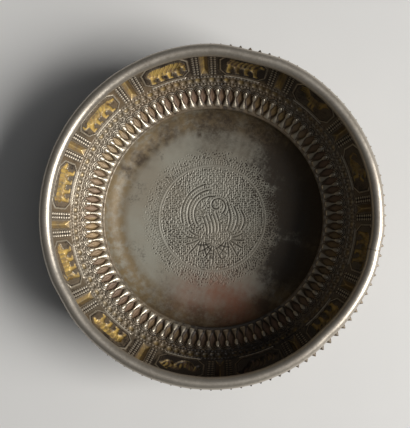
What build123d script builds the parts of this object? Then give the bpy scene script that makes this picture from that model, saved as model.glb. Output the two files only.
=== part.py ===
from build123d import *
from math import asin, cos, sin, sqrt
import os

# A round silver offering bowl: a relief wall raised from one sheet, a shallow base dish
# let in under it, and a thick round wire, grooved along its underside, set on the lip.
# Millimetres, +Z up, origin on the table under the middle of the bowl.

# Overall sizes
height = 43.0
rim_diameter = 150.0
sheet = 0.9

# Rim wire
wire_diameter = 5.6
lip_grip = 3.4
groove_clearance = 0.05
butt_gap = 0.6
butt_turn = -12.0

# Base dish
floor_radius = 43.0
mouth_radius = 52.2
dish_depth = 6.5
flange_width = 2.0

# Wall section, taken at the middle of the sheet
shoulder_radius = 73.15
shoulder_drop = 9.5
foot_radius = 54.9
belly_radius = 50.0
ledge_overhang = 0.6

# Rows of relief, with the height of each row above the ledge
petal_count = 84
petal_height = 2.35
petal_width = 3.9
petal_length = 6.2
petal_rise = 0.9
bead_count = 120
bead_height = 8.1
bead_width = 3.0
bead_rise = 0.9
stud_count = 108
stud_width = 4.0
stud_length = 3.0
stud_ridge = 2.0
stud_hip = 0.8
stud_rise = 3.7

# Panels and the hipped pillars between them, with their height above the ledge
panel_count = 12
panel_turn = 18.0
panel_height = 16.7
panel_width = 21.2
panel_length = 13.2
panel_corner = 2.6
panel_sink = 0.5
panel_lap = 0.5
pillar_width = 4.0
pillar_length = 14.4
pillar_ridge = 0.8
pillar_hip = 2.2
pillar_rise = 1.2

# How far the foot of a raised shape is let into the sheet
relief_root = 0.7

# Solder fillets
rim_fillet = 0.8
base_fillet = 0.8

# Levels and radii that follow from the sizes above
wire_radius = wire_diameter / 2
wire_level = height - wire_radius
lip_radius = rim_diameter / 2 - wire_radius
lip_foot = height - wire_diameter - rim_fillet
lip_top = height - wire_diameter + lip_grip
seat_level = sheet + dish_depth
ledge_top = seat_level + sheet
shoulder_level = height - shoulder_drop
stud_level = (shoulder_level + lip_foot) / 2
stud_radius = (shoulder_radius + lip_radius) / 2
outer = sheet / 2
inner = -sheet / 2

# The belly is one arc from the foot to the shoulder
belly = RadiusArc((foot_radius, seat_level), (shoulder_radius, shoulder_level), -belly_radius)
belly_centre = belly.arc_center


def belly_point(level, side):
    """Point of the belly's section at a level, this far outside the middle of the sheet."""
    drop = belly_centre.Y - level
    return (belly_centre.X + sqrt((belly_radius + side) ** 2 - drop**2), level)


def wall_plane(level, side):
    """Plane on a skin of the belly at a level, its Y up the wall and its Z out of the bowl."""
    lean = asin((belly_centre.Y - level) / belly_radius)
    middle = Plane(
        (belly_point(level, 0)[0], 0, level), x_dir=(0, 1, 0), z_dir=(cos(lean), 0, -sin(lean))
    )
    return middle.offset(side)


def pointed_boss(plane, outline, rise):
    """Boss on a skin of the sheet, from a foot let into the sheet up to a tip."""
    with BuildPart() as boss:
        with BuildSketch(plane.offset(-relief_root)):
            add(outline)
        loft([boss.pending_faces[0], Vertex(plane.origin + plane.z_dir * rise)])
    return boss.part


def hipped_boss(plane, width, length, ridge, hip, rise):
    """Boss on a skin of the sheet, from a foot let into the sheet up to a short flat ridge."""
    with BuildPart() as boss:
        with BuildSketch(plane.offset(-relief_root)):
            Rectangle(width, length)
        with BuildSketch(plane.offset(rise)):
            Rectangle(ridge, length - 2 * hip)
        loft()
    return boss.part


def pillar_on(side):
    """Pillar on one skin of the belly."""
    plane = wall_plane(ledge_top + panel_height, side)
    return hipped_boss(plane, pillar_width, pillar_length, pillar_ridge, pillar_hip, pillar_rise)


def panel_block(margin):
    """Block through the wall with a panel's cut-cornered outline, grown by a margin."""
    with BuildPart() as block:
        with BuildSketch(wall_plane(ledge_top + panel_height, 0)) as outline:
            Rectangle(panel_width + 2 * margin, panel_length + 2 * margin)
            chamfer(outline.vertices(), panel_corner)
        extrude(amount=panel_length / 4, both=True)
    return block.part


def wire_section(plane):
    """Section of the rim wire with the groove that takes the lip."""
    with BuildSketch(plane) as section:
        with Locations((lip_radius, wire_level)):
            Circle(wire_radius)
        with Locations((lip_radius, lip_top + groove_clearance)):
            Rectangle(
                sheet + 2 * groove_clearance,
                wire_diameter,
                align=(Align.CENTER, Align.MAX),
                mode=Mode.SUBTRACT,
            )
    return section.sketch


# Outlines of one lotus petal and one bead
with BuildSketch() as petal:
    with BuildLine():
        Polyline((0, -petal_length / 2), (petal_width / 2, petal_length / 8), (0, petal_length / 2))
        mirror(about=Plane.YZ)
    make_face()
with BuildSketch() as bead:
    RegularPolygon(bead_width / 2, 4)

# Sunk ground of one panel, lapping a little behind the sheet around it
with BuildPart() as panel_ground:
    with BuildSketch(Plane.XZ):
        with Locations((belly_centre.X, belly_centre.Y)):
            Circle(belly_radius - panel_sink + outer)
            Circle(belly_radius - panel_sink + inner, mode=Mode.SUBTRACT)
            Rectangle(
                2 * belly_radius,
                2 * belly_radius,
                align=(Align.MIN, Align.MAX),
                mode=Mode.INTERSECT,
            )
    revolve(axis=Axis.Z)
    add(panel_block(panel_lap), mode=Mode.INTERSECT)

# Wall: the plain raised sheet, then the relief, raised outside, its larger forms hollow inside
with BuildPart() as wall_band:
    with BuildSketch(Plane.XZ):
        with BuildLine():
            outer_foot = belly_point(seat_level, outer)
            outer_shoulder = belly_point(shoulder_level, outer)
            inner_foot = belly_point(ledge_top, inner)
            inner_shoulder = belly_point(shoulder_level, inner)
            ledge_edge = mouth_radius - ledge_overhang
            RadiusArc(outer_foot, outer_shoulder, -belly_radius - outer)
            Polyline(
                outer_shoulder,
                (lip_radius + outer, lip_foot),
                (lip_radius + outer, lip_top),
                (lip_radius + inner, lip_top),
                (lip_radius + inner, lip_foot),
                inner_shoulder,
            )
            RadiusArc(inner_foot, inner_shoulder, -belly_radius - inner)
            Polyline(inner_foot, (ledge_edge, ledge_top), (ledge_edge, seat_level), outer_foot)
        make_face()
    revolve(axis=Axis.Z)
    with PolarLocations(0, panel_count, start_angle=panel_turn):
        add(panel_block(0), mode=Mode.SUBTRACT)
        add(panel_ground.part)
    with PolarLocations(0, panel_count, start_angle=panel_turn + 180 / panel_count):
        add(pillar_on(outer))
        add(pillar_on(inner), mode=Mode.SUBTRACT)
    with PolarLocations(0, petal_count):
        add(pointed_boss(wall_plane(ledge_top + petal_height, outer), petal.sketch, petal_rise))
        add(
            pointed_boss(wall_plane(ledge_top + petal_height, inner), petal.sketch, petal_rise),
            mode=Mode.SUBTRACT,
        )
    with PolarLocations(0, bead_count):
        add(pointed_boss(wall_plane(ledge_top + bead_height, outer), bead.sketch, bead_rise))
    stud_plane = Plane(
        (stud_radius, 0, stud_level),
        x_dir=(0, 1, 0),
        z_dir=(lip_foot - shoulder_level, 0, shoulder_radius - lip_radius),
    )
    stud_skin = stud_plane.offset(outer)
    with PolarLocations(0, stud_count):
        add(hipped_boss(stud_skin, stud_width, stud_length, stud_ridge, stud_hip, stud_rise))

# Base dish, a shallow pan with a flange turned out under the ledge
with BuildPart() as base_dish:
    with BuildSketch(Plane.XZ):
        with BuildLine():
            base = Line((0, 0), (floor_radius, 0))
            side = TangentArc(base @ 1, (mouth_radius + sheet, seat_level), tangent=base % 1)
            Polyline(side @ 1, (0, seat_level), (0, 0))
        make_face()
    revolve(axis=Axis.Z)
    offset(amount=-sheet, openings=base_dish.faces().sort_by(Axis.Z)[-1])
    with BuildSketch(Plane.XY.offset(seat_level - sheet)):
        Circle(mouth_radius + flange_width)
        Circle(mouth_radius + sheet / 2, mode=Mode.SUBTRACT)
    extrude(amount=sheet)

# Rim wire, bent to a ring and left open at its butt joint
butt_plane = Plane(
    (0, 0, 0),
    x_dir=Vector(1, 0, 0).rotate(Axis.Z, butt_turn),
    z_dir=Vector(0, -1, 0).rotate(Axis.Z, butt_turn),
)
with BuildPart() as rim_wire:
    revolve(wire_section(Plane.XZ), axis=Axis.Z)
    with BuildSketch(butt_plane):
        with Locations((lip_radius, wire_level)):
            Rectangle(2 * wire_diameter, 2 * wire_diameter)
    extrude(amount=butt_gap / 2, both=True, mode=Mode.SUBTRACT)

# Solder that closes the wire's butt joint
with BuildPart() as rim_butt_solder:
    extrude(wire_section(butt_plane), amount=butt_gap / 2, both=True)

# Solder fillets along both edges of the groove, between the wire and the lip
fillet_foot = sheet / 2 + rim_fillet
fillet_top = wire_level - sqrt(wire_radius**2 - fillet_foot**2)
with BuildPart() as rim_solder_seam:
    with BuildSketch(Plane.XZ):
        for side in (1, -1):
            lip_face = lip_radius + side * sheet / 2
            with BuildLine():
                Polyline(
                    (lip_face, lip_foot),
                    (lip_radius + side * fillet_foot, fillet_top),
                    (lip_face, wire_level),
                    close=True,
                )
            make_face()
        with Locations((lip_radius, wire_level)):
            Circle(wire_radius, mode=Mode.SUBTRACT)
    revolve(axis=Axis.Z)

# Solder fillet round the edge of the dish's flange, under the wall
with BuildPart() as base_solder_seam:
    with BuildSketch(Plane.XZ):
        with BuildLine():
            flange_edge = mouth_radius + flange_width
            Polyline(
                (flange_edge, seat_level),
                (flange_edge + base_fillet, seat_level),
                (flange_edge, seat_level - base_fillet),
                close=True,
            )
        make_face()
    revolve(axis=Axis.Z)

pieces = {
    "wall_band": wall_band,
    "base_dish": base_dish,
    "rim_wire": rim_wire,
    "rim_butt_solder": rim_butt_solder,
    "rim_solder_seam": rim_solder_seam,
    "base_solder_seam": base_solder_seam,
}
os.makedirs("parts", exist_ok=True)
for name, piece in pieces.items():
    piece.part.label = name
    export_step(piece.part, f"parts/{name}.step")
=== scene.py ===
"""Looks of a round silver offering bowl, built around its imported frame."""

import logging
import math
from dataclasses import dataclass
from enum import Enum

import bmesh
import bpy
import numpy as np
from mathutils import Matrix, Vector
from mathutils.kdtree import KDTree


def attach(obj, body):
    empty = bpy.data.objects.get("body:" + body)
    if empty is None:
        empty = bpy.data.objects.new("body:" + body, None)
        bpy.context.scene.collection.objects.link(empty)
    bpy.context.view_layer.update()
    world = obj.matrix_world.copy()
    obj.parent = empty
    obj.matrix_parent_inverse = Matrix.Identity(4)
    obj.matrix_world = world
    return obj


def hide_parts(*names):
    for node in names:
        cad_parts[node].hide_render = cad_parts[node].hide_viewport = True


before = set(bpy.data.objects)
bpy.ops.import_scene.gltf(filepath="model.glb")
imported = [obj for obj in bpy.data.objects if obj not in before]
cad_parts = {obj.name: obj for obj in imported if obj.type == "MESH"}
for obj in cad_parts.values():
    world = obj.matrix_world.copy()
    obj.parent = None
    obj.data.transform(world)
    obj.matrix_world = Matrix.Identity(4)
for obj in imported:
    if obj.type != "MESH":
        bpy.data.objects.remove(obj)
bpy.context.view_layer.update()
MM = 0.001
FULL_TURN = 360.0
LOG = logging.getLogger("offering_bowl")
Array = np.ndarray
Pair = tuple[float, float]
Point = tuple[float, float]
Triple = tuple[float, float, float]
Colour = tuple[float, float, float, float]
Patch = tuple[float, float, float, float]
Socket = bpy.types.NodeSocket


def smooth_step(low: float, high: float, value: Array) -> Array:
    """Eases from 0 at low to 1 at high.

    Args:
        low: Value at which the result leaves 0.
        high: Value at which the result reaches 1.
        value: Values to ease.

    Returns:
        The eased values.
    """
    part = np.clip((value - low) / (high - low), 0.0, 1.0)
    return part * part * (3.0 - 2.0 * part)


def ridge(distance: Array, width: float) -> Array:
    """Soft line of height 1 where the distance is 0, about twice the width across."""
    return np.exp(-((distance / width) ** 2))


def dome(distance: Array, radius: float | Array) -> Array:
    """Round cap of height 1 and this radius."""
    return np.sqrt(np.clip(1.0 - (distance / radius) ** 2, 0.0, None))


def place_in_row(turn: Array, count: int, centre: float) -> Array:
    """Turn from the nearest of several equal places round the bowl.

    Args:
        turn: Turns round the bowl, in degrees.
        count: Number of places round the bowl.
        centre: Turn of one of the places, in degrees.

    Returns:
        Turns from the nearest place, in degrees.
    """
    step = FULL_TURN / count
    return (turn - centre + step / 2) % step - step / 2


def turns_and_radii(points: Array) -> tuple[Array, Array]:
    """Turns of points round the bowl, in degrees, and their radii."""
    return np.degrees(np.arctan2(points[:, 1], points[:, 0])), np.hypot(points[:, 0], points[:, 1])


def scaled_out(points: Array, share: Array) -> Array:
    """Points with their distance from the axis multiplied by a share."""
    return np.column_stack((points[:, 0] * share, points[:, 1] * share, points[:, 2]))


def waver(turn: Array, waves: tuple[tuple[int, float], ...]) -> Array:
    """Sum of waves round the bowl, each a count and a start in radians."""
    return sum(np.sin(count * np.radians(turn) + start) for count, start in waves)


@dataclass(frozen=True)
class Knock:
    """One place where the rim was knocked inwards.

    Attributes:
        turn: Turn of the deepest point, in degrees.
        spread: Turn over which the knock fades, in degrees.
        depth: Depth of the knock, in millimetres.
    """

    turn: float
    spread: float
    depth: float

    def push(self, turn: Array) -> Array:
        """Inward push of the rim at these turns, in millimetres."""
        return self.depth * ridge(place_in_row(turn, 1, self.turn), self.spread)


@dataclass(frozen=True)
class BowlShape:
    """Sizes that the pieces share, in millimetres.

    Attributes:
        sheet: Thickness of the sheet.
        belly_centre: Radius and level of the centre of the belly's arc.
        belly_radius: Radius of the belly's arc at the middle of the sheet.
        seat_level: Underside of the ledge.
        shoulder_level: Top of the belly.
        lip_radius: Radius of the lip and of the wire on it.
        flange_radius: Outer radius of the flange under the ledge.
        knock_levels: Levels between which a knock grows to its depth.
        knocks: Places where the rim was knocked inwards.
    """

    sheet: float = 0.9
    belly_centre: Point = (25.1823, 47.6101)
    belly_radius: float = 50.0
    seat_level: float = 7.4
    shoulder_level: float = 33.5
    lip_radius: float = 72.2
    flange_radius: float = 54.2
    knock_levels: Pair = (34.5, 40.0)
    knocks: tuple[Knock, ...] = (
        Knock(-44.0, 22.0, 1.1),
        Knock(-12.0, 4.0, 0.4),
        Knock(-46.0, 4.0, 0.3),
        Knock(76.0, 9.0, 1.0),
        Knock(2.0, 10.0, 0.3),
        Knock(209.0, 5.0, 0.4),
    )

    @property
    def ledge_top(self) -> float:
        """Level of the ledge's upper face."""
        return self.seat_level + self.sheet

    @property
    def foot_lean(self) -> float:
        """Angle of the belly at the ledge, below the level of its centre."""
        return math.asin((self.belly_centre[1] - self.ledge_top) / self.belly_radius)

    @property
    def belly_length(self) -> float:
        """Length of the belly from the ledge to the shoulder."""
        head = math.asin((self.belly_centre[1] - self.shoulder_level) / self.belly_radius)
        return self.belly_radius * (self.foot_lean - head)

    def belly_point(self, rise: float, side: float) -> Point:
        """Point of the wall's section.

        Args:
            rise: Length up the wall from the ledge.
            side: Distance outside the middle of the sheet.

        Returns:
            Radius and level.
        """
        lean = self.foot_lean - rise / self.belly_radius
        reach = self.belly_radius + side
        return (
            self.belly_centre[0] + reach * math.cos(lean),
            self.belly_centre[1] - reach * math.sin(lean),
        )

    def knocked(self, points: Array) -> Array:
        """Pushes points of the upper bowl in where the rim was knocked.

        Args:
            points: Points, in millimetres.

        Returns:
            The pushed points.
        """
        turn, radius = turns_and_radii(points)
        push = sum(knock.push(turn) for knock in self.knocks)
        push *= smooth_step(*self.knock_levels, points[:, 2])
        return scaled_out(points, 1.0 - push / radius)


@dataclass(frozen=True)
class Stroke:
    """Rounded stroke of a beast: a line of points with a radius at each.

    Attributes:
        points: Points of the line, in millimetres.
        radii: Radius at each point, in millimetres.
    """

    points: tuple[Point, ...]
    radii: tuple[float, ...]

    def swell(self, across: Array, up: Array) -> Array:
        """Height of the stroke over a panel's ground.

        Args:
            across: Places across the panel.
            up: Places up the panel.

        Returns:
            Heights, 0 outside the stroke.
        """
        height = np.zeros_like(across)
        spans = zip(self.points, self.points[1:], self.radii, self.radii[1:])
        for start, end, first, last in spans:
            run = (end[0] - start[0], end[1] - start[1])
            length = run[0] ** 2 + run[1] ** 2
            along = ((across - start[0]) * run[0] + (up - start[1]) * run[1]) / length
            along = np.clip(along, 0.0, 1.0)
            gap = np.hypot(across - start[0] - along * run[0], up - start[1] - along * run[1])
            radius = first + (last - first) * along
            height = np.maximum(height, radius * dome(gap, radius))
        return height


def branch(root: Point, points: tuple[Point, ...], radius: float, tip: float = 0.55) -> Stroke:
    """Tapered stroke that leaves a root, such as a tail or a horn.

    Args:
        root: Point that the stroke leaves.
        points: Further points, measured from the root.
        radius: Radius at the root.
        tip: Share of the radius that is left at the tip.

    Returns:
        The stroke.
    """
    line = (root,) + tuple((root[0] + x, root[1] + y) for x, y in points)
    taper = np.linspace(radius, radius * tip, len(line))
    return Stroke(line, tuple(taper.tolist()))


class Figure:
    """Figure of a panel, facing along +X."""

    def strokes(self) -> list[Stroke]:
        """Strokes of the whole figure."""
        raise NotImplementedError


@dataclass(frozen=True)
class Beast(Figure):
    """Four-legged beast, walking, from a few sizes in millimetres.

    Attributes:
        girth: Radius of the body.
        legs: Length of the legs.
        neck: Reach of the neck from the shoulder, across and up.
        muzzle: Reach of the muzzle from the head, across and up.
        head: Radius of the head.
        ears: Reach of the ears from the head, across and up.
        tail: Points of the tail from the rump.
        horn: Points of a horn or crest from the head.
        trunk: Points of a trunk from the muzzle.
        shoulder: Place of the shoulder.
        back: Place of the middle of the back.
        rump: Place of the rump.
        gait: Place of each hip across, with the reach of its knee and foot.
    """

    girth: float
    legs: float
    neck: Point
    muzzle: Point
    head: float
    ears: Point = (-0.5, 1.3)
    tail: tuple[Point, ...] = ((-1.3, 0.9), (-2.0, 2.4), (-1.2, 3.2))
    horn: tuple[Point, ...] = ()
    trunk: tuple[Point, ...] = ()
    shoulder: Point = (2.3, 1.0)
    back: Point = (-0.2, 0.8)
    rump: Point = (-2.7, 0.9)
    gait: tuple[Triple, ...] = ((3.0, 0.8, 0.9), (1.4, -0.4, -0.4), (-1.9, 0.1, 0.2), (-3.4, -0.9, -1.2))

    def leg(self, hip: float, knee: float, foot: float) -> Stroke:
        """One leg with a bent knee and a foot set forward.

        Args:
            hip: Place of the hip across the panel.
            knee: Reach of the knee from the hip.
            foot: Reach of the foot from the hip.

        Returns:
            The leg's stroke.
        """
        bend, toe, ground = -0.6 * self.legs, 0.7, -0.6 - self.legs
        points = ((hip, 0.0), (hip + knee, bend), (hip + foot, ground), (hip + foot + toe, ground))
        return Stroke(points, (self.girth * 0.5, 0.62, 0.48, 0.48))

    def strokes(self) -> list[Stroke]:
        """Strokes of the whole beast."""
        crown = (self.shoulder[0] + self.neck[0] + 0.7, self.shoulder[1] + self.neck[1] + 0.3)
        nose = (crown[0] + self.muzzle[0], crown[1] + self.muzzle[1])
        flanks = tuple(self.girth * share for share in (0.9, 0.82, 0.94))
        return [
            Stroke((self.rump, self.back, self.shoulder), flanks),
            Stroke((self.shoulder, crown), (self.girth * 0.8, self.head)),
            Stroke((crown, nose), (self.head, self.head * 0.6)),
            *(self.leg(*leg) for leg in self.gait),
            branch(crown, (self.ears,), 0.42),
            branch(self.rump, self.tail, 0.55),
            branch(crown, self.horn, 0.4),
            branch(nose, self.trunk, 0.55),
        ]


@dataclass(frozen=True)
class Serpent(Figure):
    """Serpent, lying in waves with its head raised.

    Attributes:
        waves: Number of waves in the body.
        hood: Reach of the hood's crest.
        start: Place of the tail's tip.
        length: Length of the body across the panel.
        swing: Height of the waves.
        lift: How far the body rises towards the head.
    """

    waves: float
    hood: float
    start: Point = (-5.6, -1.6)
    length: float = 9.0
    swing: float = 1.9
    lift: float = 1.4

    def strokes(self) -> list[Stroke]:
        """Strokes of the whole serpent."""
        along = np.linspace(0.0, 1.0, 22)
        across = self.start[0] + self.length * along
        wave = self.swing * np.sin(2 * math.pi * self.waves * along) * (1.0 - 0.3 * along)
        up = self.start[1] + wave + self.lift * along
        body = tuple(zip(across.tolist(), up.tolist()))
        radii = tuple((0.5 + 1.1 * np.sin(math.pi * (0.1 + 0.75 * along))).tolist())
        neck = body[-1]
        head = (neck[0] + 0.9, neck[1] + 2.0)
        return [
            Stroke(body, radii),
            Stroke((neck, head), (1.4, 1.4)),
            Stroke((head, (head[0] + 1.6, head[1] - 0.3)), (1.3, 0.6)),
            branch(head, ((-0.4, self.hood * 0.8), (-1.3, self.hood * 1.1)), 0.6),
            branch(head, ((-1.2, 0.5), (-2.0, 0.2)), 0.5),
        ]


class Cock(Figure):
    """Cock, standing, with a plumed tail."""

    def strokes(self) -> list[Stroke]:
        """Strokes of the whole cock."""
        crown, rump = (3.2, 3.4), (-2.2, 0.8)
        return [
            Stroke(((-1.6, 0.3), (1.4, 0.2)), (1.7, 1.6)),
            Stroke(((1.6, 0.8), crown), (1.2, 0.85)),
            Stroke((crown, (4.6, 3.2)), (0.7, 0.25)),
            branch(crown, ((-0.3, 1.0), (0.4, 1.2)), 0.45),
            Stroke(((0.2, -1.0), (0.4, -4.0), (1.3, -4.1)), (0.6, 0.35, 0.35)),
            Stroke(((-0.8, -1.0), (-1.0, -4.0), (-0.1, -4.1)), (0.6, 0.35, 0.35)),
            *(branch(rump, ((-1.6, lift), (-3.2, lift * 0.7)), 0.7) for lift in (0.6, 2.0, 3.4)),
        ]


class Monkey(Figure):
    """Monkey, seated, with its tail curled up behind."""

    def strokes(self) -> list[Stroke]:
        """Strokes of the whole monkey."""
        crown, rump = (1.6, 3.0), (-2.6, -2.6)
        return [
            Stroke(((-1.4, -2.0), (0.6, 1.0)), (1.9, 1.5)),
            Stroke((crown, (2.5, 2.6)), (1.3, 0.8)),
            branch(crown, ((-1.2, 0.5),), 0.5),
            Stroke(((0.8, 0.9), (2.9, -0.4), (3.8, 1.0)), (0.7, 0.5, 0.45)),
            Stroke(((-1.0, -2.4), (1.9, -1.4), (2.0, -4.0), (2.9, -4.1)), (0.95, 0.7, 0.45, 0.4)),
            Stroke(((-1.8, -2.6), (0.6, -4.0)), (0.9, 0.5)),
            branch(rump, ((-1.6, 0.6), (-2.2, 3.0), (-1.2, 4.6), (-0.4, 4.0)), 0.5),
        ]


class BeastKind(Enum):
    """The twelve beasts of the year, in their order round the bowl."""

    MONKEY = Monkey()
    COCK = Cock()
    DOG = Beast(
        2.4, 3.4, (1.2, 1.3), (1.4, -0.3), 1.25, (-0.9, 0.6), tail=((-1.2, 1.2), (-1.0, 2.6), (0.2, 2.8))
    )
    ELEPHANT = Beast(
        2.9, 3.4, (1.0, 0.6), (1.3, -0.9), 1.75, (-1.5, -0.9), tail=((-1.0, -0.6), (-1.2, -2.0)),
        trunk=((0.6, -1.4), (0.4, -2.8), (1.2, -3.0)),
    )
    RAT = Beast(
        2.4, 3.2, (1.1, 0.3), (1.7, -0.5), 1.25, (-0.4, 1.1), tail=((-1.6, -0.8), (-3.2, 0.4), (-3.0, 2.2))
    )
    OX = Beast(2.75, 3.4, (1.2, 0.9), (1.5, -0.9), 1.4, horn=((-0.2, 1.4), (0.9, 2.1)))
    TIGER = Beast(2.5, 3.3, (1.2, 0.8), (1.1, -0.3), 1.6, tail=((-1.5, 0.5), (-2.0, 2.6), (-0.4, 3.6)))
    HARE = Beast(2.4, 3.2, (1.0, 0.9), (1.1, -0.5), 1.3, (-1.7, 2.2), tail=((-0.9, 0.5),))
    NAGA = Serpent(waves=1.6, hood=2.2)
    SNAKE = Serpent(waves=2.2, hood=0.9)
    HORSE = Beast(
        2.4, 4.0, (1.4, 2.0), (1.6, -0.9), 1.25, tail=((-1.3, 0.4), (-2.2, -1.0), (-2.0, -2.6)),
        horn=((-1.0, -0.2), (-1.9, -1.1)),
    )
    GOAT = Beast(
        2.4, 3.5, (1.2, 1.6), (1.3, -0.7), 1.25, tail=((-0.9, 0.9),), horn=((-0.6, 1.4), (-1.7, 1.7))
    )


class Sheet:
    """Points of the wall, and what the relief does at each.

    Attributes:
        turn: Turns round the bowl, in degrees.
        rise: Lengths up the wall from the ledge, in millimetres.
        radius: Radii from the axis, in millimetres.
        height: Heights out of the bowl over the plain sheet, in millimetres.
        toned: How much yellow toning each place has.
        worn: How much cleaner each place is than the sheet around it.
        blush: How much red toning each place has.
    """

    def __init__(self, turn: Array, rise: Array, radius: Array) -> None:
        """Keeps the points, still plain."""
        self.turn, self.rise, self.radius = turn, rise, radius
        self.height, self.toned, self.worn, self.blush = np.zeros((4, len(turn)))

    def across(self, count: int, centre: float) -> Array:
        """Lengths round the bowl from the nearest of several equal places."""
        return np.radians(place_in_row(self.turn, count, centre)) * self.radius

    def tint(self, count: int, key: float) -> Array:
        """Values from 0 to 1 that change from each of several equal places to the next."""
        return 0.5 + 0.5 * np.sin(key * np.round(self.turn * count / FULL_TURN))


class ReliefRow:
    """Row of relief round the wall."""

    def work(self, sheet: Sheet) -> None:
        """Adds the row to the sheet of the wall."""
        raise NotImplementedError


@dataclass(frozen=True)
class PlainLine(ReliefRow):
    """Plain line between two rows.

    Attributes:
        rise: Length of the line up the wall, in millimetres.
    """

    rise: float

    def work(self, sheet: Sheet) -> None:
        """Adds the line to the sheet of the wall."""
        sheet.height -= 0.22 * ridge(sheet.rise - self.rise, 0.2)


@dataclass(frozen=True)
class PearlRow(ReliefRow):
    """One row of round beads.

    Attributes:
        count: Number of beads.
        rise: Length of the row up the wall, in millimetres.
        size: Radius of a bead.
        depth: Height of a bead.
        worn: How much cleaner a bead is than the sheet.
        toned: How much yellow toning a bead has.
    """

    count: int
    rise: float
    size: float
    depth: float
    worn: float
    toned: float = 0.0

    def work(self, sheet: Sheet) -> None:
        """Adds the beads.

        Args:
            sheet: Sheet of the wall.
        """
        cap = dome(np.hypot(sheet.across(self.count, 0.0), sheet.rise - self.rise), self.size)
        sheet.height += self.depth * cap
        sheet.worn += self.worn * cap
        sheet.toned += self.toned * cap * sheet.tint(self.count, 9.7)


@dataclass(frozen=True)
class PetalRow(ReliefRow):
    """Lotus petals with a small pawn of plain metal between each two, under double arches.

    A pawn's sizes are given at its waist, and what its ball and its foot add.

    Attributes:
        count: Number of petals.
        rise: Length of the petals' middle up the wall, in millimetres.
        half: Half length of a petal.
        depth: Height of a petal.
        ball: Height of a pawn's ball over the petals' middle, and its radius.
        foot: Heights at which a pawn's foot starts and is full.
        pawn_half: Half width of a pawn.
        pawn_depth: Height of a pawn into the bowl.
        pawn_worn: How much cleaner a pawn is than the sheet.
        arch_up: Height of the arches' middle over the petals' middle.
        arches: Radius, half width and strength of each arch.
        scoops: Radius, half width and depth of the hollow outside each arch.
    """

    count: int = 84
    rise: float = 3.3
    half: float = 3.0
    depth: float = 0.8
    ball: Pair = (1.75, 1.2)
    foot: Pair = (-0.4, -3.2)
    pawn_half: Triple = (0.46, 0.5, 0.95)
    pawn_depth: Triple = (0.42, 0.5, 0.35)
    pawn_worn: Triple = (0.3, 0.4, 0.1)
    arch_up: float = 2.0
    arches: tuple[Triple, ...] = ((1.5, 0.22, 1.0), (2.25, 0.24, 0.9))
    scoops: tuple[Triple, ...] = ((1.9, 0.32, 0.45), (2.65, 0.3, 0.35))

    def work(self, sheet: Sheet) -> None:
        """Adds the row to the sheet of the wall."""
        self.petals(sheet)
        self.arcade(sheet)

    def petals(self, sheet: Sheet) -> None:
        """Adds the petals and the pawns.

        Args:
            sheet: Sheet of the wall.
        """
        across = np.abs(sheet.across(self.count, 0.0))
        pitch_half = math.pi * sheet.radius / self.count
        up = sheet.rise - self.rise
        pawn_parts = (1.0, dome(up - self.ball[0], self.ball[1]), smooth_step(*self.foot, up))
        pawn, depth, worn = (
            sum(size * part for size, part in zip(sizes, pawn_parts))
            for sizes in (self.pawn_half, self.pawn_depth, self.pawn_worn)
        )
        inside = smooth_step(self.half + 0.35, self.half - 0.2, np.abs(up))
        taper = np.clip(1.0 - np.abs(up / self.half) ** 2.2, 0.02, 1.0)
        width = np.maximum(pitch_half - pawn, 0.05) * taper
        leaf = dome(across, width) * inside
        edge = np.clip((pitch_half - across) / pawn, 0.0, 1.0)
        body = dome(edge, 1.0) * smooth_step(self.half + 0.1, self.half - 0.2, up)
        grain = np.sin(6.1 * across + 4.3 * up + sheet.turn) * np.sin(6.7 * up - 3.1 * across)
        sheet.height += leaf * (self.depth + 0.1 * grain) - body * depth
        sheet.height -= 0.12 * ridge(across, 0.2) * (leaf > 0.4)
        sheet.worn += body * worn + leaf * (0.12 + 0.22 * grain)
        sheet.worn -= 0.3 * inside * ridge(across - width, 0.22)
        tint = sheet.tint(self.count, 12.9)
        sheet.blush += (0.3 + 0.5 * tint) * leaf
        sheet.toned += 0.3 * leaf * (1.0 - tint)

    def arcade(self, sheet: Sheet) -> None:
        """Adds the arches over the pawns' heads, with a wedge between each two.

        Args:
            sheet: Sheet of the wall.
        """
        across = sheet.across(self.count, FULL_TURN / 2 / self.count)
        pitch_half = math.pi * sheet.radius / self.count
        up = sheet.rise - self.rise - self.arch_up
        reach = np.hypot(across, up)
        above = smooth_step(-0.2, 0.4, up) * smooth_step(4.3, 3.2, up)
        lines = sum(share * ridge(reach - radius, width) for radius, width, share in self.arches)
        scoop = sum(depth * dome(reach - radius, width) for radius, width, depth in self.scoops)
        slope = (pitch_half - np.abs(across)) / np.maximum(up - 1.1, 0.3)
        wedge = smooth_step(0.75, 0.15, slope) * smooth_step(1.4, 2.2, up) * smooth_step(3.4, 2.9, up)
        sheet.height += above * (scoop - 0.34 * lines - 0.3 * wedge)
        sheet.worn += 0.12 * above * (lines - scoop)


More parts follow.
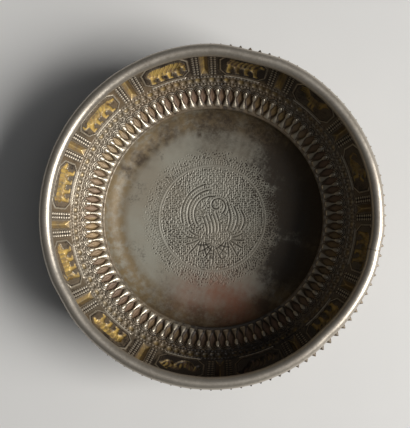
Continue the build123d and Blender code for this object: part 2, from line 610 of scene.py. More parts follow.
@dataclass(frozen=True)
class PanelRow(ReliefRow):
    """Framed panels with their beasts, and hipped pillars between them.

    Lengths are in millimetres, and heights are measured from the panels' middle.

    Attributes:
        count: Number of panels and of pillars.
        turn: Turn of the first panel's middle, in degrees.
        rise: Length of the panels' middle up the wall.
        radius: Radius at which widths are measured.
        half: Half width and half height of a panel's frame.
        corner: Width that is cut off a frame's corners.
        sink: Depth of a panel's ground.
        beast_scale: How far a beast is stretched across and up.
        beast_depth: Height of a beast.
        pillar_half: Half width and half length of a pillar.
        pillar_hip: Length of a pillar's sloping end.
        pillar_depth: Height of a pillar.
        bead_lines: Distances of the lines of beads from a pillar's middle.
        bead_pitch: Distance from bead to bead.
        bead_radius: Radius of a bead.
        border: Distance of the plain line beyond the beads.
    """

    count: int = 12
    turn: float = 18.0
    rise: float = 21.7
    radius: float = 68.0
    half: Pair = (10.6, 6.6)
    corner: float = 3.0
    sink: float = 0.5
    beast_scale: Pair = (1.5, 1.2)
    beast_depth: float = 1.3
    pillar_half: Pair = (2.0, 7.2)
    pillar_hip: float = 2.3
    pillar_depth: float = 1.4
    bead_lines: Pair = (3.3, 4.85)
    bead_pitch: float = 1.6
    bead_radius: float = 0.74
    border: float = 5.8

    def work(self, sheet: Sheet) -> None:
        """Adds the row to the sheet of the wall."""
        self.pillars(sheet)
        self.beasts(sheet)

    def across(self, sheet: Sheet, centre: float) -> Array:
        """Lengths round the bowl from the nearest of the places with this turn among them."""
        return np.radians(place_in_row(sheet.turn, self.count, centre)) * self.radius

    def pillars(self, sheet: Sheet) -> None:
        """Adds the pillars, each a hipped roof with sharp lines where its slopes meet.

        Args:
            sheet: Sheet of the wall.
        """
        wide, long = self.pillar_half
        reach = np.abs(self.across(sheet, self.turn + FULL_TURN / 2 / self.count))
        up = np.abs(sheet.rise - self.rise)
        side, end = 1.0 - reach / wide, (long - up) / self.pillar_hip
        roof = np.clip(np.minimum(side, end), 0.0, 0.95)
        zone = smooth_step(long + 0.4, long, up)
        top_line = ridge(reach, 0.32) * smooth_step(0.7, 1.0, end)
        line = top_line + ridge(side - end, 0.14) * (end < 1.0) * (roof > 0.1)
        border = ridge(np.maximum(reach - wide, up - long) - 0.15, 0.22)
        sheet.height += zone * (self.pillar_depth * roof - 0.3 * border)
        sheet.toned += zone * (0.34 * smooth_step(0.1, 0.35, roof) + 0.3 * line)
        sheet.blush += zone * 0.25 * smooth_step(0.05, 0.3, roof) * (1.0 - line)
        sheet.worn += zone * (0.5 * line + 0.12 * smooth_step(0.02, 0.2, roof))
        self.beads(sheet, reach, sheet.rise - self.rise)

    def beads(self, sheet: Sheet, reach: Array, up: Array) -> None:
        """Adds the lines of beads beside the pillars.

        Args:
            sheet: Sheet of the wall.
            reach: Distances from the nearest pillar's middle.
            up: Heights over the panels' middle.
        """
        pitch, long = self.bead_pitch, self.pillar_half[1]
        step = (up + pitch / 2) % pitch - pitch / 2
        within = smooth_step(long - 0.1, long - 0.4, np.abs(up))
        for line in self.bead_lines:
            bead = dome(np.hypot(reach - line, step), self.bead_radius)
            sheet.height -= within * (0.5 * bead - 0.2 * ridge(reach - line, 0.8))
            sheet.worn += within * (0.75 * bead - 0.4 * ridge(reach - line, 0.85))
        sheet.height -= 0.2 * ridge(reach - self.border, 0.2) * within

    def frames(self, sheet: Sheet, across: Array, up: Array) -> Array:
        """Adds the cut-cornered frames of the panels with their grounds pushed in.

        Args:
            sheet: Sheet of the wall.
            across: Places across from the nearest panel's middle.
            up: Places up from the panels' middle.

        Returns:
            Distances outside the frame.
        """
        wide, tall = self.half
        cut = (np.abs(across) + np.abs(up) - (wide + tall - self.corner)) / math.sqrt(2.0)
        outside = np.maximum(np.maximum(np.abs(across) - wide, np.abs(up) - tall), cut)
        zone = smooth_step(tall + 1.6, tall + 1.2, np.abs(up))
        bar = ridge(up + tall + 0.85, 0.32) * smooth_step(wide - 1.5, wide - 2.5, np.abs(across))
        groove = ridge(outside + 0.75, 0.3)
        ground = smooth_step(-0.8, -1.4, outside)
        sheet.height += zone * (0.25 * groove - 0.4 * ridge(outside, 0.3) - 0.4 * bar)
        sheet.height -= zone * self.sink * smooth_step(0.1, -0.5, outside)
        sheet.worn += zone * (0.22 * ridge(outside, 0.35) - 0.25 * groove + 0.55 * bar - 0.2 * ground)
        return outside

    def beasts(self, sheet: Sheet) -> None:
        """Adds the panels with their combed beasts on matted grounds, one kind to each.

        Args:
            sheet: Sheet of the wall.
        """
        step = FULL_TURN / self.count
        across = self.across(sheet, self.turn)
        up = sheet.rise - self.rise
        inside = self.frames(sheet, across, up) < -0.6
        panel = (sheet.turn - self.turn + step / 2) % FULL_TURN // step
        for place, kind in enumerate(BeastKind):
            here = inside & (panel == place)
            x, y = -across[here] / self.beast_scale[0], up[here] / self.beast_scale[1]
            shape = np.max([stroke.swell(x, y) for stroke in kind.value.strokes()], axis=0)
            solid = smooth_step(0.1, 0.45, shape)
            comb = np.sin(4.6 * x - 1.2 * y + 1.6 * np.sin(1.1 * y + place)) * smooth_step(0.5, 1.2, shape)
            drift = 0.5 + 0.5 * np.sin(1.1 * x + 0.8 * y + 2.3 * place)
            mat = np.sin(7.0 * x + 3.0 * y) * np.sin(7.0 * y - 3.0 * x) * (1.0 - solid)
            sheet.height[here] += self.beast_depth * np.tanh(shape / 1.2) + 0.1 * comb + 0.12 * mat
            sheet.toned[here] += solid * (0.95 - 0.5 * smooth_step(0.1, 0.9, comb))
            sheet.blush[here] += 0.65 * solid * drift * smooth_step(0.4, -0.6, comb)
            sheet.worn[here] += 0.24 * solid + 0.26 * comb + 0.18 * mat


class Nodes:
    """Short way to add and join the nodes of one tree."""

    def __init__(self, tree: bpy.types.NodeTree) -> None:
        """Keeps the tree."""
        self.tree = tree

    def add(self, kind: str, **settings: object) -> bpy.types.Node:
        """Adds a node and sets its properties.

        Args:
            kind: Blender's name of the node's type.
            settings: Properties to set.

        Returns:
            The node.
        """
        node = self.tree.nodes.new(kind)
        for name, value in settings.items():
            setattr(node, name, value)
        return node

    def put(self, value: object, socket: Socket) -> None:
        """Links a socket to an input, or sets a plain value on it.

        Args:
            value: Socket to link, or value to set.
            socket: Input that gets it.
        """
        if isinstance(value, Socket):
            self.tree.links.new(value, socket)
        else:
            socket.default_value = value

    def fill(self, node: bpy.types.Node, **values: object) -> bpy.types.Node:
        """Puts values on the inputs of a node.

        Args:
            node: Node to fill.
            values: Value of each input, with an underscore for a space in its name.

        Returns:
            The node.
        """
        for name, value in values.items():
            self.put(value, node.inputs[name.replace("_", " ")])
        return node

    def place(self) -> Socket:
        """Object coordinates of the piece."""
        return self.add("ShaderNodeTexCoord").outputs["Object"]

    def noise(self, place: Socket, scale: object, detail: float, rough: float) -> Socket:
        """Noise from 0 to 1, with this many clouds to a metre and this many finer layers."""
        node = self.add("ShaderNodeTexNoise")
        return self.fill(node, Vector=place, Scale=scale, Detail=detail, Roughness=rough).outputs["Fac"]

    def span(
        self, value: Socket, low: float, high: float, first: object = 0.0, last: object = 1.0
    ) -> Socket:
        """Eases a value from one range to another.

        Args:
            value: Value to ease.
            low: Start of its range.
            high: End of its range.
            first: Result at the start.
            last: Result at the end.

        Returns:
            The eased value.
        """
        node = self.add("ShaderNodeMapRange", interpolation_type="SMOOTHSTEP")
        self.fill(node, Value=value, From_Min=low, From_Max=high, To_Min=first, To_Max=last)
        return node.outputs["Result"]

    def math(self, operation: str, first: object, second: object) -> Socket:
        """Joins two values by an operation.

        Args:
            operation: Name of the operation, such as ADD.
            first: First value.
            second: Second value.

        Returns:
            The result.
        """
        node = self.add("ShaderNodeMath", operation=operation)
        self.put(first, node.inputs[0])
        self.put(second, node.inputs[1])
        return node.outputs[0]

    def plus(self, first: object, second: object) -> Socket:
        """Sum of two values."""
        return self.math("ADD", first, second)

    def times(self, first: object, second: object) -> Socket:
        """Product of two values."""
        return self.math("MULTIPLY", first, second)

    def around(self, value: Socket, strength: float) -> Socket:
        """Value from 0 to 1 as a change around 0 of this strength."""
        return self.times(self.math("SUBTRACT", value, 0.5), strength)

    def mix(self, share: Socket, first: object, second: object) -> Socket:
        """Mixes two colours, with this share of the second."""
        node = self.add("ShaderNodeMix", data_type="RGBA")
        return self.fill(node, Factor=share, A=first, B=second).outputs["Result"]

    def attribute(self, name: str) -> Socket:
        """Value that the piece's mesh keeps at each point."""
        return self.add("ShaderNodeAttribute", attribute_name=name).outputs["Fac"]


class SilverGroups:
    """Node groups that the silver finishes share."""

    def __init__(self) -> None:
        """Builds the groups."""
        self.patina = self.build_patina()
        self.handwork = self.build_handwork()

    def start(
        self, name: str, colours: tuple[str, ...], values: tuple[str, ...], results: dict[str, str]
    ) -> tuple[Nodes, dict[str, Socket], bpy.types.Node]:
        """Starts a group with named sockets.

        Args:
            name: Name of the group.
            colours: Names of its inputs for colours.
            values: Names of its inputs for values.
            results: Socket type of each output.

        Returns:
            Its node kit, its inputs by name and its output node.
        """
        group = bpy.data.node_groups.new(name, "ShaderNodeTree")
        inputs = dict.fromkeys(colours, "Color") | dict.fromkeys(values, "Float")
        for side, sockets in (("INPUT", inputs), ("OUTPUT", results)):
            for label, kind in sockets.items():
                group.interface.new_socket(label, in_out=side, socket_type=f"NodeSocket{kind}")
        kit = Nodes(group)
        given = kit.add("NodeGroupInput").outputs
        return kit, {label: given[label] for label in inputs}, kit.add("NodeGroupOutput")

    def build_patina(self) -> bpy.types.NodeTree:
        """Tarnish that lies in the hollows and in clouds, worn off the crests, and painted shade where the
        crest is pushed low.

        Returns:
            The group.
        """
        kit, given, result = self.start(
            "silver_patina",
            ("Bright", "Dull", "Dark", "Warm"),
            ("Crest", "Wear", "Scale", "Worn Gloss", "Dull Gloss", "Worn Metal", "Dull Metal"),
            {"Colour": "Color", "Roughness": "Float", "Metallic": "Float"},
        )
        place = kit.place()
        clouds = kit.noise(place, given["Scale"], 6.0, 0.6)
        specks = kit.noise(place, 900.0, 3.0, 0.7)
        blotches = kit.noise(place, kit.times(given["Scale"], 2.7), 5.0, 0.65)
        base = kit.mix(kit.span(clouds, 0.35, 0.65), given["Dull"], given["Warm"])
        worn = kit.plus(given["Crest"], kit.around(specks, 0.5))
        worn = kit.plus(worn, kit.around(given["Wear"], 1.0))
        bright = kit.mix(kit.span(worn, 0.46, 0.98), base, given["Bright"])
        deep = kit.plus(worn, kit.around(blotches, 0.9))
        colour = kit.mix(kit.span(deep, 0.12, 0.42, 1.0, 0.0), bright, given["Dark"])
        rough = kit.span(worn, 0.2, 0.9, given["Dull Gloss"], given["Worn Gloss"])
        rough = kit.plus(rough, kit.span(specks, 0.3, 0.8, -0.05, 0.08))
        metal = kit.span(worn, 0.35, 0.95, given["Dull Metal"], given["Worn Metal"])
        kit.fill(result, Colour=colour, Roughness=rough, Metallic=metal)
        return kit.tree

    def build_handwork(self) -> bpy.types.NodeTree:
        """Fine hammer marks, grain and scratches, as a height.

        Returns:
            The group.
        """
        kit, given, result = self.start("hand_work", (), ("Marks", "Scratches"), {"Height": "Float"})
        place = kit.place()
        hammer = kit.add("ShaderNodeTexVoronoi", feature="SMOOTH_F1")
        kit.fill(hammer, Vector=place, Scale=given["Marks"])
        stretch = kit.add("ShaderNodeMapping")
        kit.fill(stretch, Vector=place, Scale=(3200.0, 90.0, 900.0), Rotation=(0.0, 0.0, 0.7))
        grain = kit.noise(place, 2600.0, 3.0, 0.6)
        lines = kit.noise(stretch.outputs["Vector"], 1.0, 2.0, 0.5)
        height = kit.plus(kit.times(hammer.outputs["Distance"], 0.5), kit.times(grain, 0.25))
        cuts = kit.times(kit.span(lines, 0.62, 0.7, 0.0, -1.0), given["Scratches"])
        kit.fill(result, Height=kit.plus(height, cuts))
        return kit.tree


@dataclass(frozen=True)
class SilverFinish:
    """One finish of old silver.

    Attributes:
        name: Name of the material and of its slot.
        bright: Colour where the metal is worn clean.
        dull: Colour of the greyer tarnish.
        warm: Colour of the browner tarnish.
        dark: Colour in the hollows, and of painted shade where the crest is pushed low.
        toned: Colour of the yellow toning.
        stain: Colour of stained places, and of the painted shadow that the floor's stain layer carries.
        blush: Colour of reddened places.
        metal: How far worn places and dull ones are bare metal and not tarnish.
        gloss: Roughness of worn places and of dull ones.
        wear: How far the tarnish is worn off, 0.5 for an even state.
        scale: Clouds of tarnish to a metre.
        marks: Hammer marks to a metre.
        scratches: Strength of the scratches.
        bump: Depth of the hand work, in metres.
    """

    name: str
    bright: Colour
    dull: Colour
    warm: Colour
    dark: Colour
    toned: Colour
    stain: Colour = (0.1, 0.065, 0.035, 1.0)
    blush: Colour = (0.2, 0.095, 0.06, 1.0)
    metal: Pair = (0.7, 0.15)
    gloss: Pair = (0.35, 0.5)
    wear: float = 0.5
    scale: float = 45.0
    marks: float = 420.0
    scratches: float = 0.3
    bump: float = 0.00006

    def patina(self, kit: Nodes, groups: SilverGroups) -> bpy.types.Node:
        """Adds the group for the tarnish with this finish's values.

        Args:
            kit: Node kit of the material.
            groups: Shared node groups.

        Returns:
            The group's node.
        """
        return kit.fill(
            kit.add("ShaderNodeGroup", node_tree=groups.patina),
            Bright=self.bright,
            Dull=self.dull,
            Dark=self.dark,
            Warm=self.warm,
            Crest=kit.attribute("crest"),
            Wear=self.wear,
            Scale=self.scale,
            Worn_Gloss=self.gloss[0],
            Dull_Gloss=self.gloss[1],
            Worn_Metal=self.metal[0],
            Dull_Metal=self.metal[1],
        )

    def tones(self, kit: Nodes, patina: bpy.types.Node) -> tuple[Socket, Socket]:
        """Lays the yellow toning, the stains with their painted shadow and the reddened places over the
        tarnish.

        Args:
            kit: Node kit of the material.
            patina: Node of the tarnish.

        Returns:
            Colour and roughness.
        """
        place = kit.place()
        patches = kit.span(kit.noise(place, 260.0, 3.0, 0.6), 0.3, 0.62, 0.25, 1.0)
        share = kit.times(kit.attribute("toned"), patches)
        # Toning fades where the crest is low: in the hollows and in the painted shade.
        share = kit.times(share, kit.span(kit.attribute("crest"), 0.0, 0.3))
        colour = kit.mix(share, patina.outputs["Colour"], self.toned)
        rough = patina.outputs["Roughness"]
        drift = kit.span(kit.noise(place, 120.0, 6.0, 0.65), 0.32, 0.6, 0.72, 1.0)
        drift = kit.times(drift, kit.span(kit.noise(place, 560.0, 4.0, 0.7), 0.38, 0.58, 0.74, 1.0))
        # On the floor the stain layer also carries painted shadow on the right side.
        for name, tint in (("stain", self.stain), ("blush", self.blush)):
            amount = kit.times(kit.attribute(name), drift)
            colour = kit.mix(amount, colour, tint)
            rough = kit.plus(rough, kit.times(amount, 0.2))
        return colour, rough

    def material(self, groups: SilverGroups) -> bpy.types.Material:
        """Builds the finish.

        Args:
            groups: Shared node groups.

        Returns:
            The material.
        """
        material = bpy.data.materials.new(self.name)
        material.use_nodes = True
        material.diffuse_color = self.dull
        kit = Nodes(material.node_tree)
        patina = self.patina(kit, groups)
        colour, rough = self.tones(kit, patina)
        work = kit.add("ShaderNodeGroup", node_tree=groups.handwork)
        kit.fill(work, Marks=self.marks, Scratches=self.scratches)
        bump = kit.add("ShaderNodeBump")
        kit.fill(bump, Height=work.outputs["Height"], Distance=self.bump)
        kit.fill(
            material.node_tree.nodes["Principled BSDF"],
            Base_Color=colour,
            Roughness=rough,
            Metallic=patina.outputs["Metallic"],
            Normal=bump.outputs["Normal"],
        )
        return material


RELIEF_SILVER = SilverFinish(
    "relief_silver",
    bright=(0.55, 0.49, 0.39, 1.0),
    dull=(0.12, 0.096, 0.066, 1.0),
    warm=(0.145, 0.1, 0.056, 1.0),
    dark=(0.022, 0.015, 0.01, 1.0),
    toned=(0.58, 0.39, 0.1, 1.0),
    blush=(0.2, 0.115, 0.068, 1.0),
)
FLOOR_SILVER = SilverFinish(
    "floor_silver",
    bright=(0.36, 0.335, 0.29, 1.0),
    dull=(0.295, 0.285, 0.236, 1.0),
    warm=(0.25, 0.222, 0.172, 1.0),
    dark=(0.024, 0.018, 0.012, 1.0),
    toned=(0.19, 0.135, 0.065, 1.0),
    # Near-black stain colour, which also paints the shadow on the floor's right side.
    stain=(0.04, 0.026, 0.013, 1.0),
    blush=(0.23, 0.1, 0.06, 1.0),
    metal=(0.5, 0.15),
    gloss=(0.42, 0.55),
    scale=26.0,
    marks=200.0,
    scratches=0.05,
)
RIM_SILVER = SilverFinish(
    "rim_silver",
    bright=(0.52, 0.475, 0.41, 1.0),
    dull=(0.37, 0.325, 0.265, 1.0),
    warm=(0.3, 0.25, 0.19, 1.0),
    dark=(0.2, 0.165, 0.125, 1.0),
    toned=(0.5, 0.46, 0.4, 1.0),
    metal=(0.8, 0.55),
    gloss=(0.36, 0.46),
    wear=0.55,
    scale=60.0,
    marks=330.0,
    scratches=0.05,
    bump=0.00003,
)
SOLDER = SilverFinish(
    "solder",
    bright=(0.4, 0.37, 0.32, 1.0),
    dull=(0.22, 0.19, 0.155, 1.0),
    warm=(0.18, 0.145, 0.105, 1.0),
    dark=(0.08, 0.06, 0.045, 1.0),
    toned=(0.4, 0.36, 0.3, 1.0),
    wear=0.45,
    scale=120.0,
)


def read_points(mesh: bpy.types.Mesh) -> Array:
    """Points of a mesh, in millimetres."""
    flat = np.empty(len(mesh.vertices) * 3, np.float32)
    mesh.vertices.foreach_get("co", flat)
    return flat.reshape(-1, 3).astype(float) / MM


def write_points(mesh: bpy.types.Mesh, points: Array) -> None:
    """Moves the points of a mesh to these places, in millimetres."""
    mesh.vertices.foreach_set("co", (points * MM).astype(np.float32).ravel())
    mesh.update()


def write_values(mesh: bpy.types.Mesh, **layers: Array) -> None:
    """Keeps values from 0 to 1 at each point of a mesh for its finish."""
    for name, values in layers.items():
        layer = mesh.attributes.new(name, "FLOAT", "POINT")
        layer.data.foreach_set("value", np.clip(values, 0.0, 1.0).astype(np.float32))


def spin_section(section: list[Point], start: float, sweep: float, steps: int) -> bmesh.types.BMesh:
    """Sweeps a closed section round the axis.

    Args:
        section: Radius and level of each corner, in millimetres.
        start: Turn at which the sweep starts, in degrees.
        sweep: Turn of the sweep, in degrees, 360 for a full ring.
        steps: Number of steps.

    Returns:
        The swept solid, closed at its ends.
    """
    bm = bmesh.new()
    bmesh.ops.create_circle(bm, segments=len(section), radius=1.0)
    turn = math.radians(start)
    for vert, (radius, level) in zip(bm.verts, section):
        vert.co = Vector((radius * math.cos(turn), radius * math.sin(turn), level)) * MM
    full = sweep == FULL_TURN
    first = bm.edges[:]
    swept = bmesh.ops.spin(
        bm,
        geom=bm.verts[:] + first,
        cent=(0, 0, 0),
        axis=(0, 0, 1),
        angle=math.radians(sweep),
        steps=steps,
        use_merge=full,
    )
    if not full:
        last = [item for item in swept["geom_last"] if isinstance(item, bmesh.types.BMEdge)]
        for loop in (first, last):
            bmesh.ops.edgeloop_fill(bm, edges=loop)
            for edge in loop:
                edge.smooth = False
    bmesh.ops.remove_doubles(bm, verts=bm.verts[:], dist=1e-7)
    bmesh.ops.recalc_face_normals(bm, faces=bm.faces[:])
    return bm


def smooth_mesh(bm: bmesh.types.BMesh, name: str) -> bpy.types.Mesh:
    """Turns a worked shape into a smooth-shaded mesh.

    Args:
        bm: Worked shape, which is freed.
        name: Name of the mesh.

    Returns:
        The mesh.
    """
    for face in bm.faces:
        face.smooth = True
    mesh = bpy.data.meshes.new(name)
    bm.to_mesh(mesh)
    bm.free()
    return mesh


class Workshop:
    """Makes each finish once and puts finished pieces in the scene."""

    def __init__(self) -> None:
        """Builds the shared node groups."""
        self.groups = SilverGroups()
        self.materials: dict[str, bpy.types.Material] = {}

    def material(self, finish: SilverFinish) -> bpy.types.Material:
        """Material of a finish, built when it is first asked for."""
        if finish.name not in self.materials:
            self.materials[finish.name] = finish.material(self.groups)
        return self.materials[finish.name]

    def place(self, mesh: bpy.types.Mesh, finish: SilverFinish, node: str) -> None:
        """Puts a mesh in the scene in place of its solid.

        Args:
            mesh: Finished mesh, which names the piece.
            finish: Its finish.
            node: Node of the solid.
        """
        mesh.materials.append(self.material(finish))
        piece = bpy.data.objects.new(mesh.name, mesh)
        bpy.context.scene.collection.objects.link(piece)
        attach(piece, "root")
        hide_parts(node)
        LOG.info("%s: %d faces", piece.name, len(mesh.polygons))


@dataclass
class WallBand:
    """Relief wall from the ledge to the lip, in six parts of two panels each.

    Lengths are in millimetres.

    Attributes:
        shape: Shared sizes of the bowl.
        parts: Number of parts.
        first_turn: Turn at which the first part starts, in degrees.
        columns: Steps round each part.
        inner_rows: Rows up the inner skin.
        outer_rows: Rows up the outer skin.
        lip_foot: Level at which the lip leaves the shoulder.
        lip_top: Top of the lip.
        ledge_edge: Radius of the ledge's inner edge.
        foot_draw: How far the inner skin is drawn in at its foot.
        draw_rise: Length up the wall over which that fades.
        stud_count: Number of studs.
        stud_half: Half width and half height of a stud.
        stud_rise: Height of a stud.
        stud_aim: Share of a stud's height that goes outwards and upwards.
        painted_shade_sides: Turn, spread and strength of painted shade, which darkens two sides of the
            wall's inner face.
        near: Number of points on each side that a point is compared with for its wear.
        rows: Rows of relief.
    """

    shape: BowlShape
    parts: int = 6
    first_turn: float = 7.5
    columns: int = 280
    inner_rows: int = 152
    outer_rows: int = 84
    lip_foot: float = 36.6
    lip_top: float = 40.8
    ledge_edge: float = 51.6
    foot_draw: float = 2.2
    draw_rise: float = 6.5
    stud_count: int = 108
    stud_half: Pair = (2.08, 1.5)
    stud_rise: float = 3.4
    stud_aim: Pair = (0.955, 0.29)
    painted_shade_sides: tuple[Triple, ...] = ((-80.0, 34.0, 0.55), (84.0, 32.0, 0.28))
    near: int = 4
    rows: tuple[ReliefRow, ...] = (
        PearlRow(252, 9.15, 0.62, 0.5, 0.35),
        PearlRow(120, 11.3, 1.35, 0.85, 0.45, 0.35),
        PearlRow(264, 13.45, 0.58, 0.45, 0.35),
        PearlRow(264, 29.9, 0.6, 0.4, 0.2),
        *(PlainLine(rise) for rise in (9.85, 12.75, 14.15, 29.15)),
        PetalRow(),
        PanelRow(),
    )

    def section(self) -> list[Point]:
        """Section of the sheet, up its outer skin and down its inner skin.

        Returns:
            Radius and level of each corner.
        """
        shape, edge = self.shape, self.ledge_edge
        half, length = shape.sheet / 2, shape.belly_length
        low, top = shape.seat_level, shape.ledge_top
        outer = [shape.belly_point(rise, half) for rise in np.linspace(0.9, length, self.outer_rows)]
        inner = [shape.belly_point(rise, -half) for rise in np.linspace(length, 0.0, self.inner_rows)]
        lip_out, lip_in = shape.lip_radius + half, shape.lip_radius - half
        lip = [
            *self.line(outer[-1], (lip_out, self.lip_foot), 14),
            (lip_out, self.lip_foot),
            (lip_out, self.lip_top),
            (lip_in, self.lip_top),
            (lip_in, self.lip_foot),
            *self.line((lip_in, self.lip_foot), inner[0], 4),
        ]
        heel = shape.belly_point(0.35, half)
        under = [(edge + 0.2, low), (edge + 1.9, low), (heel[0] - 0.5, low), heel]
        foot = inner[-1][0] - self.foot_draw
        ledge = [(foot - 0.8, top), (edge + 1.0, top), (edge + 0.35, top)]
        return under + outer + lip + inner + ledge + [(edge, top - 0.3), (edge, low + 0.2)]

    def line(self, start: Point, end: Point, count: int) -> list[Point]:
        """This many points between two points, without them."""
        return [tuple(point) for point in np.linspace(start, end, count + 2)[1:-1]]

    def studs(self, turn: Array, radius: Array, level: Array) -> Array:
        """Height of the studs on the shoulder, each a blunt point on an oval foot.

        Args:
            turn: Turns of points round the bowl, in degrees.
            radius: Radii of the points.
            level: Levels of the points.

        Returns:
            Heights, 0 off the shoulder's outer face.
        """
        low, high = self.shape.shoulder_level, self.lip_foot
        across = np.radians(place_in_row(turn, self.stud_count, 0.0)) * radius / self.stud_half[0]
        up = (level - (low + high) / 2) / self.stud_half[1]
        on_band = (level > low + 0.05) & (level < high - 0.05) & (radius > self.shape.lip_radius + 0.3)
        return on_band * self.stud_rise * np.clip(1.0 - np.hypot(across, up), 0.0, 1.0) ** 0.8

    def emboss(self, mesh: bpy.types.Mesh) -> None:
        """Works the relief into a plain part of the wall.

        Args:
            mesh: Mesh of the part.
        """
        shape = self.shape
        points = read_points(mesh)
        turn, radius = turns_and_radii(points)
        level = points[:, 2]
        out, down = radius - shape.belly_centre[0], shape.belly_centre[1] - level
        lean, reach = np.arctan2(down, out), np.hypot(out, down)
        rise, length = shape.belly_radius * (shape.foot_lean - lean), shape.belly_length
        on_sheet = np.abs(reach - shape.belly_radius) < shape.sheet / 2 + 0.05
        on_belly = on_sheet & (rise > -0.01) & (rise < length + 0.01)
        outside = reach > shape.belly_radius
        sheet = Sheet(turn, rise, radius)
        for row in self.rows:
            row.work(sheet)
        height = sheet.height * on_belly * smooth_step(length, length - 0.4, rise)
        stud = self.studs(turn, radius, level)
        draw = self.foot_draw * smooth_step(self.draw_rise, 0.0, rise) * (on_belly & ~outside)
        shift = height * np.cos(lean) + stud * self.stud_aim[0] - draw
        moved = scaled_out(points, 1.0 + shift / radius)
        moved[:, 2] += stud * self.stud_aim[1] - height * np.sin(lean)
        write_points(mesh, shape.knocked(moved))

        standing = np.where(outside, height, -height)
        ledge = (np.abs(level - shape.ledge_top) < 0.4) & (radius < shape.belly_point(0.0, 0.0)[0])
        worn = sheet.worn * on_belly + 0.14 * ledge
        # Painted shade: two sides of the inner face are made darker, as if out of the light.
        for side, spread, strength in self.painted_shade_sides:
            worn -= strength * ridge(place_in_row(turn, 1, side), spread)
        crest = 0.5 + 1.1 * self.sharpness(standing) + 0.12 * standing + 0.05 * stud
        write_values(
            mesh,
            crest=crest + np.where(outside, 0.0, worn),
            toned=sheet.toned * on_belly * np.where(outside, 0.2, 1.0),
            blush=sheet.blush * on_belly * np.where(outside, 0.3, 1.0),
        )

    def sharpness(self, standing: Array) -> Array:
        """How far each point stands over the points around it.

        Args:
            standing: Heights, row by row round the part.

        Returns:
            Heights over the mean of the neighbours.
        """
        grid = standing.reshape(self.columns + 1, -1)
        shifts = range(-self.near, self.near + 1)
        mean = sum(np.roll(grid, shift, axis) for axis in (0, 1) for shift in shifts) / (2 * len(shifts))
        return (grid - mean).ravel()

    def build(self, shop: Workshop) -> None:
        """Builds the parts of the wall and dresses them.

        Args:
            shop: Workshop that takes the pieces.
        """
        sweep = FULL_TURN / self.parts
        bm = spin_section(self.section(), self.first_turn, sweep, self.columns)
        plain = smooth_mesh(bm, "plain_wall")
        for part in range(self.parts):
            mesh = plain.copy()
            mesh.name = f"relief_wall_{part + 1}"
            mesh.transform(Matrix.Rotation(math.radians(part * sweep), 4, "Z"))
            self.emboss(mesh)
            shop.place(mesh, RELIEF_SILVER, "wall_band")
        bpy.data.meshes.remove(plain)


